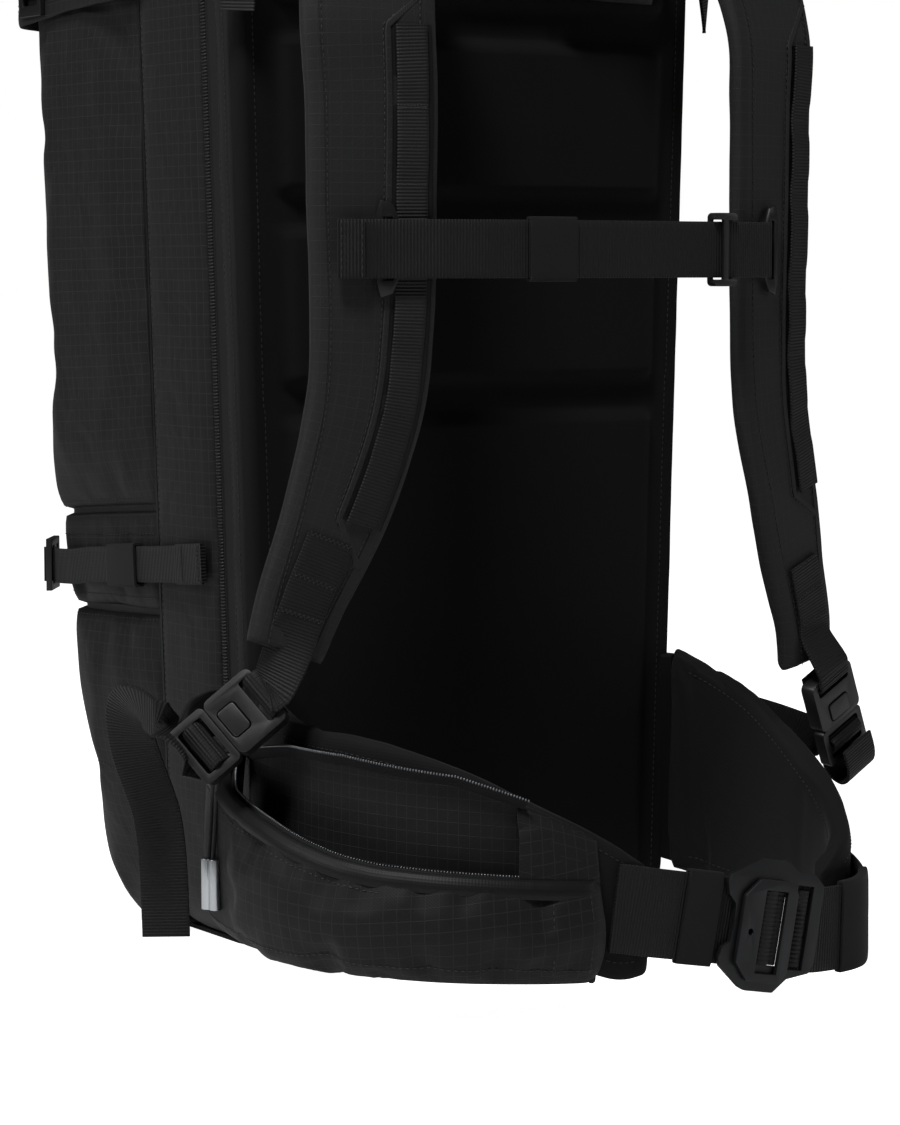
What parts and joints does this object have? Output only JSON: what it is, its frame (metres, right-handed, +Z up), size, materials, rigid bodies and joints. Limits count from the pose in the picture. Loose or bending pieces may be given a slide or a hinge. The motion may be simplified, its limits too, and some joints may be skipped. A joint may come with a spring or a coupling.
{
  "type": "avalanche airbag backpack",
  "caption": "Black ski backpack with padded harness, sternum strap, hip belt with open pocket, hinged lid over a folded airbag, gas cylinder and pull trigger.",
  "frame": {"origin": "centre of the flat base panel's underside, on the ground", "axes": "+Z up along the pack's height, +X to the wearer's right, -Y towards the wearer"},
  "size_m": [0.4441, 0.462, 0.611],
  "materials": {
    "ripstop_nylon": "matte, woven ripstop grid",
    "coated_nylon": "matte, coated",
    "zip_tape": "matte coil zip tape",
    "moulded_foam": "matte brushed face over moulded foam",
    "frame_plastic": "matte",
    "bare_aluminium": "brushed",
    "airbag_nylon": "thin coated cloth, folded",
    "valve_brass": "machined",
    "pin_steel": "drawn",
    "rubber_hose": "matte",
    "trigger_red": "matte moulded",
    "black_acetal": "satin moulded",
    "black_metal": "satin",
    "black_aluminium": "satin anodised",
    "black_elastic": "matte knitted",
    "black_webbing": "matte ribbed weave",
    "puller_cord": "matte braided"
  },
  "bodies": {
    "pack": {"base_panel": "coated_nylon", "main_shell": "ripstop_nylon", "front_pocket": "ripstop_nylon", "waist_band": "ripstop_nylon", "lower_pocket": "ripstop_nylon", "panel_gusset": "coated_nylon", "main_zip_tape": "zip_tape", "bottom_fold": "coated_nylon", "back_panel": "moulded_foam", "frame_sheet": "frame_plastic", "aluminium_stays": "bare_aluminium", "airbag": "airbag_nylon", "gas_cylinder": "bare_aluminium", "valve_head": "valve_brass", "inflator_hose": "rubber_hose", "trigger_cable": "pin_steel", "trigger_holder": "black_acetal", "haul_loop": "black_webbing", "left_shoulder_strap": "ripstop_nylon", "right_shoulder_strap": "ripstop_nylon", "left_daisy_chain": "black_webbing", "right_daisy_chain": "black_webbing", "left_lower_webbing": "black_webbing", "right_lower_webbing": "black_webbing", "left_buckle_body": "black_acetal", "right_buckle_body": "black_acetal", "left_buckle_tongue": "black_acetal", "right_buckle_tongue": "black_acetal", "left_adjuster_webbing": "black_webbing", "right_adjuster_webbing": "black_webbing", "load_lifters": "black_webbing", "left_hip_wing": "moulded_foam", "right_hip_wing": "moulded_foam", "hip_pocket": "ripstop_nylon", "hip_pocket_zip": "zip_tape", "pocket_slider": "black_metal", "left_hip_webbing": "black_webbing", "right_hip_webbing": "black_webbing", "hip_buckle_frame": "black_aluminium", "right_hip_keeper": "black_elastic", "compression_straps": "black_webbing", "compression_hooks": "black_aluminium", "front_webbing": "black_webbing"},
    "lid": {"top_lid": "ripstop_nylon", "lid_hooks": "black_acetal"},
    "firing_pin": {"firing_pin": "pin_steel"},
    "trigger_handle": {"trigger_handle": "trigger_red"},
    "left_main_slider": {"left_main_slider": "black_metal"},
    "right_main_slider": {"right_main_slider": "black_metal"},
    "left_latch": {"left_buckle_latch": "black_acetal"},
    "right_latch": {"right_buckle_latch": "black_acetal"},
    "sternum_strap": {"sternum_webbing": "black_webbing", "sternum_hooks": "black_aluminium"},
    "sternum_adjuster": {"sternum_adjuster": "black_aluminium"},
    "sternum_keeper": {"sternum_keeper": "black_elastic"},
    "pocket_puller": {"pocket_cord": "puller_cord", "pocket_puller": "bare_aluminium"},
    "hip_hook": {"hip_buckle_hook": "black_aluminium"},
    "left_hip_keeper": {"left_hip_keeper": "black_elastic"}
  },
  "joints": [
    {"name": "lid_hinge", "type": "hinge", "parent": "pack", "child": "lid", "pos_m": [0, -0.056, 0.56], "axis": [1, 0, 0], "range_deg": [0, 70]},
    {"name": "trigger_pull", "type": "slide", "parent": "pack", "child": "trigger_handle", "axis": [-0.2975, -0.3986, -0.8675], "range_m": [0, 0.03]},
    {"name": "firing_pin_slide", "type": "slide", "parent": "pack", "child": "firing_pin", "axis": [0, 1, 0], "range_m": [0, 0.005]},
    {"name": "left_main_slider_slide", "type": "slide", "parent": "pack", "child": "left_main_slider", "axis": [-1, 0, 0], "range_m": [0, 0.07]},
    {"name": "right_main_slider_slide", "type": "slide", "parent": "pack", "child": "right_main_slider", "axis": [1, 0, 0], "range_m": [0, 0.07]},
    {"name": "left_latch_press", "type": "slide", "parent": "pack", "child": "left_latch", "axis": [0.6457, 0.6876, -0.3322], "range_m": [0, 0.0015], "stiffness_N_per_m": 800},
    {"name": "right_latch_press", "type": "slide", "parent": "pack", "child": "right_latch", "axis": [-0.1896, 0.9774, 0.0935], "range_m": [0, 0.0015], "stiffness_N_per_m": 800},
    {"name": "sternum_height", "type": "slide", "parent": "pack", "child": "sternum_strap", "axis": [0, 0, 1], "range_m": [-0.03, 0.04]},
    {"name": "sternum_adjuster_slide", "type": "slide", "parent": "sternum_strap", "child": "sternum_adjuster", "axis": [1, 0, 0], "range_m": [-0.05, 0]},
    {"name": "sternum_keeper_slide", "type": "slide", "parent": "sternum_strap", "child": "sternum_keeper", "axis": [1, 0, 0], "range_m": [-0.02, 0.025]},
    {"name": "puller_swing", "type": "hinge", "parent": "pack", "child": "pocket_puller", "pos_m": [-0.165, -0.122, 0.1215], "axis": [0, 1, 0], "range_deg": [0, 12]},
    {"name": "hip_hook_tilt", "type": "hinge", "parent": "pack", "child": "hip_hook", "pos_m": [0.02088, -0.3044, 0.04191], "axis": [0.1908, 0, 0.9816], "range_deg": [-30, 0]},
    {"name": "left_hip_keeper_slide", "type": "slide", "parent": "pack", "child": "left_hip_keeper", "axis": [0.9816, 0, -0.1908], "range_m": [-0.012, 0]}
  ],
  "couplings": [
    {"joint": "firing_pin_slide", "follows": "trigger_pull", "ratio": 0.16667}
  ]
}
